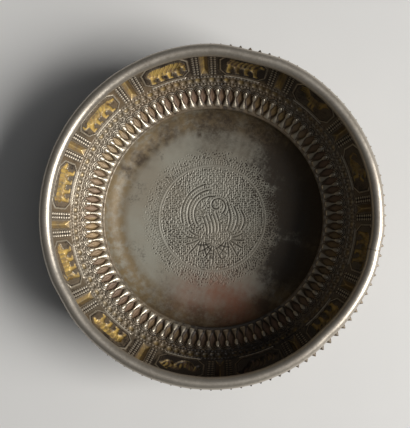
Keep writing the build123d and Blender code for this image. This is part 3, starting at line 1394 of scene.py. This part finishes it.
@dataclass(frozen=True)
class Medallion:
    """Chased medallion of the floor: a plumed, curled beast among leaves on stippled ground.

    Lengths are in millimetres.

    Attributes:
        ring: Radius of the ring round the medallion.
        pitch: Distance from punch mark to punch mark on the ground.
        clearance: Distance that the ground keeps from the lines.
        centre: Middle of the medallion on the floor.
        plumes: Number of plumes, every second one dotted.
        plume_pitch: Distance from plume to plume.
        dense: Distance from mark to mark on a full line.
        dotted: Distance from mark to mark on a dotted line.
        leaf_roots: Root of each fan of leaves, and the turn of its middle leaf.
        leaf_turn: Turn from leaf to leaf, in degrees.
        fringe_rows: Number of rows of marks outside the ring.
        fringe_pitch: Distance from row to row.
        fringe_turn: Turn from mark to mark in a row, in degrees.
    """

    ring: float = 25.4
    pitch: float = 1.05
    clearance: float = 0.8
    centre: Point = (-0.9, -0.2)
    plumes: int = 5
    plume_pitch: float = 1.55
    dense: float = 0.5
    dotted: float = 1.1
    leaf_roots: tuple[tuple[Point, float], ...] = (
        ((-4.0, -9.0), 228.0),
        ((7.0, -9.0), 300.0),
        ((1.0, -11.0), 266.0),
    )
    leaf_turn: float = 17.0
    fringe_rows: int = 9
    fringe_pitch: float = 0.85
    fringe_turn: float = 2.4

    def trace(self, across: Array, up: Array, pitch: float) -> list[Point]:
        """Punches marks along a line.

        Args:
            across: Places of the line along +X.
            up: Places of the line along +Y.
            pitch: Distance from mark to mark.

        Returns:
            Places of the marks.
        """
        walked = np.concatenate(([0.0], np.cumsum(np.hypot(np.diff(across), np.diff(up)))))
        places = np.arange(0.0, walked[-1], pitch)
        return list(zip(np.interp(places, walked, across), np.interp(places, walked, up)))

    def arc(self, middle: Point, reach: Pair, turns: Pair, pitch: float) -> list[Point]:
        """Punches an arc or a spiral.

        Args:
            middle: Middle of the arc.
            reach: Radius at its start and at its end.
            turns: Turn at its start and at its end, in degrees.
            pitch: Distance from mark to mark.

        Returns:
            Places of the marks.
        """
        turn = np.radians(np.linspace(*turns, 120))
        radius = np.linspace(*reach, 120)
        return self.trace(middle[0] + radius * np.cos(turn), middle[1] + radius * np.sin(turn), pitch)

    def beast(self) -> list[Point]:
        """Punches the beast: its plumes, its curled neck, its flank and its breast.

        Returns:
            Places of the marks.
        """
        marks: list[Point] = []
        for plume in range(self.plumes):
            out = self.plume_pitch * plume
            turns = (84.0 + 5.0 * plume, 214.0 - 4.0 * plume)
            pitch = self.dotted if plume % 2 else self.dense
            marks += self.arc((0.4, 2.4), (8.2 + out, 9.0 + out), turns, pitch)
        marks += self.arc((2.4, 6.2), (4.6, 1.0), (-60.0, 330.0), self.dense)
        marks += self.arc((2.0, 5.6), (6.4, 5.2), (-80.0, 140.0), 1.0)
        bow = np.linspace(0.0, 1.0, 40)
        for stripe in range(6):
            across = 7.2 + 1.7 * stripe + 1.6 * np.sin(math.pi * bow)
            up = 7.5 - 0.9 * stripe - (13.5 - stripe) * bow
            marks += self.trace(across, up, self.dotted if stripe % 2 else 0.55)
        bow = np.linspace(0.0, 1.0, 30)
        for stripe in range(5):
            across = -4.5 + 1.6 * stripe + 1.8 * np.sin(2.0 * bow)
            marks += self.trace(across, 1.0 - 9.5 * bow + 0.5 * stripe, 0.7)
        return marks

    def leaves(self) -> list[Point]:
        """Punches the fans of leaves under the beast.

        Returns:
            Places of the marks.
        """
        marks: list[Point] = []
        for root, aim in self.leaf_roots:
            for leaf in range(-3, 4):
                reach = np.linspace(2.6, 10.5 - 0.8 * abs(leaf), 24)
                bend = math.radians(aim + self.leaf_turn * leaf) + 0.05 * leaf * reach / 3.0
                marks += self.trace(root[0] + reach * np.cos(bend), root[1] + reach * np.sin(bend), 0.65)
        return marks

    def stipple(self, drawn: list[Point]) -> list[Point]:
        """Punches the ground between the lines.

        Args:
            drawn: Marks of the lines.

        Returns:
            Marks of the ground.
        """
        chance = np.random.default_rng(7)
        lines = np.array(drawn)
        side = np.arange(-self.ring, self.ring, self.pitch)
        ground = np.array(np.meshgrid(side, side)).reshape(2, -1).T
        ground = ground + chance.uniform(-0.3, 0.3, ground.shape)
        ground = ground[np.hypot(*ground.T) < self.ring - 0.9]
        return [
            tuple(place) for place in ground if np.min(np.hypot(*(lines - place).T)) > self.clearance
        ]

    def fringe(self) -> list[Point]:
        """Marks that thin out from the ring, the first two rows set as short dashes.

        Returns:
            Places of the marks.
        """
        chance = np.random.default_rng(11)
        found: list[Point] = []
        for row in range(self.fringe_rows):
            turns = np.arange(0.0, FULL_TURN, self.fringe_turn) + self.fringe_turn / 2 * (row // 2)
            turns = np.radians(turns)
            turns = turns[chance.random(len(turns)) > 0.13 * max(row - 2, 0)]
            stray = 0.003 + 0.017 * min(row, 3) / 3.0
            turns = turns + chance.uniform(-stray, stray, len(turns))
            reach = self.ring + 1.0 + self.fringe_pitch * row
            reach = reach + chance.uniform(-0.1, 0.1, len(turns)) * row
            found += zip(reach * np.cos(turns), reach * np.sin(turns))
        return found

    def gaps(self, marks: list[Point], x: Array, y: Array) -> Array:
        """Distance of each point from the nearest mark.

        Args:
            marks: Places of the marks.
            x: Places of the points along +X.
            y: Places of the points along +Y.

        Returns:
            The distances.
        """
        tree = KDTree(len(marks))
        for index, (across, up) in enumerate(marks):
            tree.insert((across, up, 0.0), index)
        tree.balance()
        return np.array([tree.find((a, b, 0.0))[2] for a, b in zip(x, y)])

    def height(self, across: Array, up: Array) -> tuple[Array, Array]:
        """Depth of the chasing at points of the floor.

        Args:
            across: Places along +X.
            up: Places along +Y.

        Returns:
            Heights, below 0 in the punch marks, and how much each place is chased.
        """
        drawn = self.beast() + self.leaves()
        x, y = across - self.centre[0], up - self.centre[1]
        reach = np.hypot(x, y)
        gap = self.gaps(drawn + self.stipple(drawn), x, y)
        stray = self.gaps(self.fringe(), x, y)
        height = -0.34 * ridge(gap, 0.3) + 0.13 * ridge(gap - 0.62, 0.25)
        height -= 0.26 * ridge(stray, 0.28) - 0.1 * ridge(stray - 0.55, 0.22)
        for line in (self.ring, self.ring - 1.1):
            height += 0.14 * ridge(reach - line, 0.2) - 0.14 * ridge(reach - line + 0.45, 0.18)
        height *= smooth_step(self.ring + 9.5, self.ring + 6.0, reach)
        return height, smooth_step(self.ring + 6.0, self.ring - 0.5, reach)


@dataclass
class BaseDish:
    """Shallow base dish with its chased floor and its flange.

    Lengths are in millimetres.

    Attributes:
        shape: Shared sizes of the bowl.
        medallion: Chasing of the floor.
        cells: Cells across the middle of the floor.
        fine_radius: Radius of the finely divided middle.
        floor_radius: Radius of the flat under the dish.
        mouth_radius: Inner radius of the dish's mouth.
        under_radii: Radii of the rings on the flat underside.
        uneven: Height of the unevenness of hand raising.
        even_radii: Radii between which the unevenness starts and is full.
        toned_radii: Radii between which the toned ring starts and is full.
        crusts_and_painted_shadows: Middle, size and strength of the brown patches of tarnish, and of the
            large dark patches on the floor's right side, which are painted shadow.
        painted_shadows: Middle, size and strength of the black patches of painted shadow on the floor's
            right side.
        blushes: Middle, size and strength of the red patches of tarnish.
    """

    shape: BowlShape
    medallion: Medallion = Medallion()
    cells: int = 248
    fine_radius: float = 36.0
    floor_radius: float = 43.0
    mouth_radius: float = 52.2
    under_radii: Triple = (36.0, 24.0, 12.0)
    uneven: float = 0.03
    even_radii: Pair = (50.0, 40.0)
    toned_radii: Pair = (41.0, 45.0)
    crusts_and_painted_shadows: tuple[Patch, ...] = (
        (-6.5, 40.2, 3.4, 1.0),
        (7.0, 41.0, 3.2, 1.0),
        (20.0, 42.5, 5.0, 1.0),
        (2.0, 43.0, 15.0, 0.9),
        (24.0, 37.0, 15.0, 0.9),
        (-20.0, 42.0, 8.0, 0.6),
        (-22.7, 38.3, 3.6, 0.8),
        (-29.4, 33.8, 3.2, 0.8),
        (-35.0, 28.6, 3.8, 0.85),
        (-41.5, 22.6, 3.4, 0.7),
        # The large patches on the right side, near x 36 to 44, are painted shadow, not tarnish.
        (44.0, 5.0, 24.0, 1.0),
        (36.0, 24.0, 15.0, 1.0),
        (4.0, -51.0, 9.0, 0.8),
        (38.0, -22.0, 18.0, 0.95),
        (8.0, -49.0, 12.0, 0.9),
        (-22.0, -42.0, 12.0, 0.5),
        (-8.0, -46.0, 10.0, 0.7),
    )
    painted_shadows: tuple[Patch, ...] = (
        (46.0, 5.0, 21.0, 0.6),
        (36.0, 25.0, 15.0, 0.5),
        (38.0, -21.0, 15.0, 0.5),
        (24.0, -42.0, 8.0, 0.4),
    )
    blushes: tuple[Patch, ...] = (
        (2.0, -36.5, 9.5, 0.9),
        (10.0, -40.0, 10.0, 0.95),
        (-10.0, -36.0, 9.5, 0.6),
    )

    @property
    def side_reach(self) -> float:
        """Width of the curved side, from the flat to the outside of the mouth."""
        return self.mouth_radius + self.shape.sheet - self.floor_radius

    @property
    def side_radius(self) -> float:
        """Radius of the curved side's outer face."""
        return (self.shape.seat_level**2 + self.side_reach**2) / (2 * self.shape.seat_level)

    def side(self, offset: float, count: int) -> list[Point]:
        """Curved side of the dish, from the floor up.

        Args:
            offset: Distance inside the outer face.
            count: Number of points.

        Returns:
            Radius and level of each point.
        """
        outer, size = self.side_radius, self.side_radius - offset
        turns = np.linspace(0.0, math.asin(self.side_reach / outer), count)
        return [(self.floor_radius + size * math.sin(t), outer - size * math.cos(t)) for t in turns]

    def rings(self) -> list[Point]:
        """Rings from the floor's middle out, over the flange and back under.

        Returns:
            Radius and level of each ring.
        """
        sheet, top, flange = self.shape.sheet, self.shape.seat_level, self.shape.flange_radius
        inner = self.side(sheet, 12)
        outer = self.side(0.0, 10)
        inner[-1] = (inner[-1][0], top)
        under = top - sheet
        return [
            (self.fine_radius + 2.0, sheet),
            (self.floor_radius - 2.5, sheet),
            *inner,
            (flange - 0.9, top),
            (flange - 0.1, top),
            (flange, top - 0.1),
            (flange, under),
            (outer[-1][0] - 0.35, under),
            *outer[-2::-1],
            *((radius, 0.0) for radius in self.under_radii),
        ]

    def model(self) -> bmesh.types.BMesh:
        """Models the plain dish as one closed shell.

        Returns:
            The dish.
        """
        bm = bmesh.new()
        bmesh.ops.create_grid(bm, x_segments=self.cells, y_segments=self.cells, size=1.0)
        for vert in bm.verts:
            x, y = vert.co.x, vert.co.y
            near = math.hypot(x, y)
            share = max(abs(x), abs(y)) / near * self.fine_radius if near else 0.0
            vert.co = Vector((x * share, y * share, self.shape.sheet)) * MM
        loop = [edge for edge in bm.edges if edge.is_boundary]
        for radius, level in self.rings():
            grown = bmesh.ops.extrude_edge_only(bm, edges=loop)["geom"]
            loop = [item for item in grown if isinstance(item, bmesh.types.BMEdge) and item.is_boundary]
            for vert in (item for item in grown if isinstance(item, bmesh.types.BMVert)):
                flat = Vector((vert.co.x, vert.co.y)).normalized() * radius
                vert.co = Vector((flat.x, flat.y, level)) * MM
        bmesh.ops.edgeloop_fill(bm, edges=loop)
        bmesh.ops.recalc_face_normals(bm, faces=bm.faces[:])
        return bm

    def chase(self, mesh: bpy.types.Mesh) -> None:
        """Works the medallion and the unevenness of hand raising into the floor.

        Args:
            mesh: Mesh of the plain dish.
        """
        points = read_points(mesh)
        x, y, level = points.T.copy()
        reach, sheet = np.hypot(x, y), self.shape.sheet
        floor = (np.abs(level - sheet) < 0.05) & (reach < self.fine_radius + 0.1)
        depth, chased = np.zeros_like(level), np.zeros_like(level)
        depth[floor], chased[floor] = self.medallion.height(x[floor], y[floor])
        beyond = np.clip(reach - self.floor_radius, 0.0, self.side_radius)
        inside = level > self.side_radius - np.sqrt(self.side_radius**2 - beyond**2) + sheet / 2
        waves = np.sin(x / 4.1) * np.sin(y / 3.3 + 0.8) + np.sin((x + y) / 6.7)
        points[:, 2] += depth + self.uneven * waves * smooth_step(*self.even_radii, reach) * inside
        write_points(mesh, points)
        ring = smooth_step(*self.toned_radii, reach) * inside
        crust_and_painted_shadow, painted_shadow, blush = (
            self.patches(x, y, places) * inside for places in (self.crusts_and_painted_shadows, self.painted_shadows, self.blushes)
        )
        # Painted shadow: the black patches on the floor's right side push the crest low and darken it.
        crest = 0.46 + 1.9 * depth + 0.03 * chased - painted_shadow
        write_values(mesh, crest=crest, toned=ring, stain=0.35 * ring + crust_and_painted_shadow, blush=blush)

    def patches(self, x: Array, y: Array, places: tuple[Patch, ...]) -> Array:
        """Soft, ragged patches of tarnish, and of painted shadow, on the floor.

        Args:
            x: Places of points along +X.
            y: Places of points along +Y.
            places: Middle, size and strength of each patch.

        Returns:
            Strength of the patches at each point.
        """
        ragged = 1.3 * np.sin(1.1 * x + 0.5 * y) * np.sin(0.9 * y - 0.6 * x)
        ragged += 0.6 * np.sin(2.3 * x - 1.7 * y)
        found = np.zeros_like(x)
        for across, up, size, strength in places:
            gap = np.maximum(np.hypot(x - across, y - up) + ragged, 0.0)
            found = np.maximum(found, strength * ridge(gap, size))
        return found

    def build(self, shop: Workshop) -> None:
        """Builds the dish and dresses it.

        Args:
            shop: Workshop that takes the piece.
        """
        mesh = smooth_mesh(self.model(), "chased_dish")
        self.chase(mesh)
        shop.place(mesh, FLOOR_SILVER, "base_dish")


@dataclass
class RimRing:
    """Thick round wire on the lip, with the solder at its butt joint.

    Lengths are in millimetres.

    Attributes:
        shape: Shared sizes of the bowl.
        level: Level of the middle of the wire.
        wire: Radius of the wire.
        groove: Half width of the groove under the wire.
        groove_top: Level of the groove's end.
        butt_turn: Turn of the butt joint, in degrees.
        butt_gap: Width of the butt joint.
        butt_sink: How far the solder in the joint lies under the wire's skin.
        steps: Steps round the wire and round the solder.
        worn_levels: Levels between which the wire's worn top starts and is full.
        uneven: Depth of the unevenness of the wire and of the solder.
        waves: Count and start of the waves of unevenness round the ring.
    """

    shape: BowlShape
    level: float = 40.2
    wire: float = 2.8
    groove: float = 0.5
    groove_top: float = 40.85
    butt_turn: float = -12.0
    butt_gap: float = 0.6
    butt_sink: float = 0.14
    steps: tuple[int, int] = (420, 4)
    worn_levels: Pair = (38.5, 42.5)
    uneven: Pair = (0.05, 0.04)
    waves: tuple[tuple[int, float], ...] = ((19, 0.0), (31, 1.0), (47, 2.0))

    def section(self, shrink: float) -> list[Point]:
        """Section of the grooved wire, made smaller by a little.

        Args:
            shrink: How much smaller its radius is.

        Returns:
            Radius and level of each corner.
        """
        middle, size = self.shape.lip_radius, self.wire - shrink
        mouth = math.asin(self.groove / self.wire)
        turns = np.linspace(-math.pi / 2 + mouth, 1.5 * math.pi - mouth, 30)
        ring = [(middle + size * math.cos(t), self.level + size * math.sin(t)) for t in turns]
        return ring + [(middle - self.groove, self.groove_top), (middle + self.groove, self.groove_top)]

    def wear(self, mesh: bpy.types.Mesh, strength: float) -> None:
        """Gives the wire its knocks, its hand-drawn unevenness and its worn top.

        Args:
            mesh: Mesh of the plain ring.
            strength: Depth of the unevenness.
        """
        points = read_points(mesh)
        turn, radius = turns_and_radii(points)
        out, up = radius - self.shape.lip_radius, points[:, 2] - self.level
        away = np.hypot(out, up)
        on_skin = away > self.wire / 2
        share = strength * (1.0 + waver(turn, self.waves) / 3.0) * on_skin / np.maximum(away, 1.0)
        worn = scaled_out(points, 1.0 - out * share / radius)
        worn[:, 2] -= up * share
        write_points(mesh, self.shape.knocked(worn))
        write_values(mesh, crest=0.5 + 0.2 * smooth_step(*self.worn_levels, worn[:, 2]))

    def build(self, shop: Workshop) -> None:
        """Builds the wire and its solder and dresses them.

        Args:
            shop: Workshop that takes the pieces.
        """
        gap = math.degrees(self.butt_gap / self.shape.lip_radius)
        start, end = self.butt_turn - gap / 2, self.butt_turn + gap / 2
        bm = spin_section(self.section(0.0), end, FULL_TURN - gap, self.steps[0])
        ring = smooth_mesh(bm, "rim_ring")
        self.wear(ring, self.uneven[0])
        shop.place(ring, RIM_SILVER, "rim_wire")
        bm = spin_section(self.section(self.butt_sink), start, gap, self.steps[1])
        joint = smooth_mesh(bm, "rim_joint")
        self.wear(joint, self.uneven[1])
        shop.place(joint, SOLDER, "rim_butt_solder")


@dataclass
class SolderSeams:
    """Run solder under the rim and round the flange of the dish.

    Lengths are in millimetres.

    Attributes:
        shape: Shared sizes of the bowl.
        rim_level: Level of the corner under the rim.
        size: Size of a fillet.
        hollow: Share of the size to which a fillet's face is hollowed.
        steps: Steps round a seam.
        lean: Share of the width that is left, and how far a wave changes it.
        waves: Count and start of the waves of hand-run solder.
    """

    shape: BowlShape
    rim_level: float = 37.55
    size: float = 0.8
    hollow: float = 0.75
    steps: int = 300
    lean: Pair = (0.8, 0.06)
    waves: tuple[tuple[int, float], ...] = ((23, 0.0), (57, 0.7), (101, 2.1))

    def fillet(self, corner: Point, side: int) -> list[Point]:
        """Section of a fillet under a corner, with a hollow face.

        Args:
            corner: Radius and level of the corner.
            side: 1 where the fillet lies outside the corner, or -1.

        Returns:
            Corners of the section.
        """
        turns = np.linspace(0.0, math.pi / 2, 6)[1:-1]
        across = self.size * (1.0 - self.hollow * np.sin(turns))
        down = self.size * (1.0 - self.hollow * np.cos(turns))
        face = [(self.size, 0.0), *zip(across, down), (0.0, self.size)]
        return [corner] + [(corner[0] + side * x, corner[1] - y) for x, y in face]

    def run(self, mesh: bpy.types.Mesh, middle: float) -> None:
        """Gives a seam the waver of hand-run solder.

        Args:
            mesh: Mesh of the even seam.
            middle: Radius from which the seam is made leaner.
        """
        points = read_points(mesh)
        turn, radius = turns_and_radii(points)
        waves = waver(turn, self.waves)
        leaner = middle + (radius - middle) * (self.lean[0] + self.lean[1] * waves)
        write_points(mesh, self.shape.knocked(scaled_out(points, leaner / radius)))
        write_values(mesh, crest=0.45 + 0.08 * waves)

    def build(self, shop: Workshop) -> None:
        """Builds the seams and dresses them.

        Args:
            shop: Workshop that takes the pieces.
        """
        half, lip = self.shape.sheet / 2, self.shape.lip_radius
        seams = (
            ("rim_seam_outer", "rim_solder_seam", (lip + half, self.rim_level), 1),
            ("rim_seam_inner", "rim_solder_seam", (lip - half, self.rim_level), -1),
            ("flange_seam", "base_solder_seam", (self.shape.flange_radius, self.shape.seat_level), 1),
        )
        for name, node, corner, side in seams:
            bm = spin_section(self.fillet(corner, side), 0.0, FULL_TURN, self.steps)
            mesh = smooth_mesh(bm, name)
            self.run(mesh, corner[0])
            shop.place(mesh, SOLDER, node)


@dataclass(frozen=True)
class Lamp:
    """One soft lamp that faces the bowl.

    Attributes:
        name: Name of the lamp.
        place: Place, in metres.
        size: Width and height, in metres.
        power: Power, in watts.
        colour: Colour of the light.
        aim: Place that the lamp faces, in metres.
    """

    name: str
    place: Triple
    size: Pair
    power: float
    colour: Triple
    aim: Triple = (0.0, 0.0, 0.02)

    def build(self) -> None:
        """Puts the lamp in the scene."""
        light = bpy.data.lights.new(self.name, "AREA")
        light.shape = "RECTANGLE"
        light.size, light.size_y = self.size
        light.energy = self.power
        light.color = self.colour
        lamp = bpy.data.objects.new(self.name, light)
        lamp.location = self.place
        way = Vector(self.aim) - Vector(self.place)
        lamp.rotation_euler = way.to_track_quat("-Z", "Y").to_euler()
        bpy.context.scene.collection.objects.link(lamp)


@dataclass
class Studio:
    """Pale table, window-like light from the right, and the camera.

    Attributes:
        eye: Place of the camera, in millimetres.
        aim: Place that the camera looks at, in millimetres.
        lens: Focal length of the camera.
        table_size: Half width of the table, in metres.
        table_colours: Colours between which the table's paint drifts.
        room_colour: Colour of the dim room.
        room_light: Strength of the room's light.
        lamps: Lamps.
    """

    eye: Triple = (13.4, -10.3, 390.2)
    aim: Triple = (-2.38, 0.65, 40.2)
    lens: float = 71.1
    table_size: float = 4.0
    table_colours: tuple[Colour, Colour] = ((0.66, 0.655, 0.645, 1.0), (0.72, 0.715, 0.7, 1.0))
    room_colour: Colour = (0.9, 0.95, 1.0, 1.0)
    room_light: float = 0.03
    lamps: tuple[Lamp, ...] = (
        Lamp("window", (1.222, -0.28, 1.0), (0.9, 0.85), 36.5, (1.0, 0.985, 0.96)),
        Lamp("ceiling", (0.6, -0.1, 1.8), (1.5, 1.5), 3.2, (0.97, 0.98, 1.0)),
    )

    def table(self) -> None:
        """Puts a pale plain table top under the bowl."""
        bm = bmesh.new()
        bmesh.ops.create_grid(bm, x_segments=8, y_segments=8, size=self.table_size)
        mesh = bpy.data.meshes.new("table_top")
        bm.to_mesh(mesh)
        bm.free()
        material = bpy.data.materials.new("table_paint")
        material.use_nodes = True
        kit = Nodes(material.node_tree)
        paint = kit.mix(kit.noise(kit.place(), 14.0, 3.0, 0.5), *self.table_colours)
        shader = material.node_tree.nodes["Principled BSDF"]
        kit.fill(shader, Base_Color=paint, Roughness=0.85, Specular_IOR_Level=0.1)
        mesh.materials.append(material)
        top = bpy.data.objects.new("table_top", mesh)
        bpy.context.scene.collection.objects.link(top)

    def room(self) -> None:
        """Gives the scene a dim even room."""
        world = bpy.data.worlds.new("room")
        world.use_nodes = True
        back = world.node_tree.nodes["Background"]
        Nodes(world.node_tree).fill(back, Color=self.room_colour, Strength=self.room_light)
        bpy.context.scene.world = world

    def camera(self) -> None:
        """Puts the camera over the bowl, at the photograph's angle."""
        data = bpy.data.cameras.new("camera")
        data.sensor_fit = "HORIZONTAL"
        data.sensor_width = 36.0
        data.lens = self.lens
        data.clip_start = 0.01
        camera = bpy.data.objects.new("camera", data)
        eye, aim = Vector(self.eye) * MM, Vector(self.aim) * MM
        camera.location = eye
        back = (eye - aim).normalized()
        right = Vector((0.0, 1.0, 0.0)).cross(back).normalized()
        camera.rotation_euler = Matrix((right, back.cross(right), back)).transposed().to_euler()
        bpy.context.scene.collection.objects.link(camera)
        bpy.context.scene.camera = camera

    def build(self) -> None:
        """Sets the whole studio."""
        self.table()
        for lamp in self.lamps:
            lamp.build()
        self.room()
        self.camera()
        bpy.context.scene.view_settings.view_transform = "Standard"


def main() -> None:
    """Builds the bowl and its studio."""
    logging.basicConfig(level=logging.INFO, format="%(message)s")
    shape = BowlShape()
    shop = Workshop()
    for part in (WallBand, BaseDish, RimRing, SolderSeams):
        part(shape).build(shop)
    Studio().build()


if __name__ == "__main__":
    main()
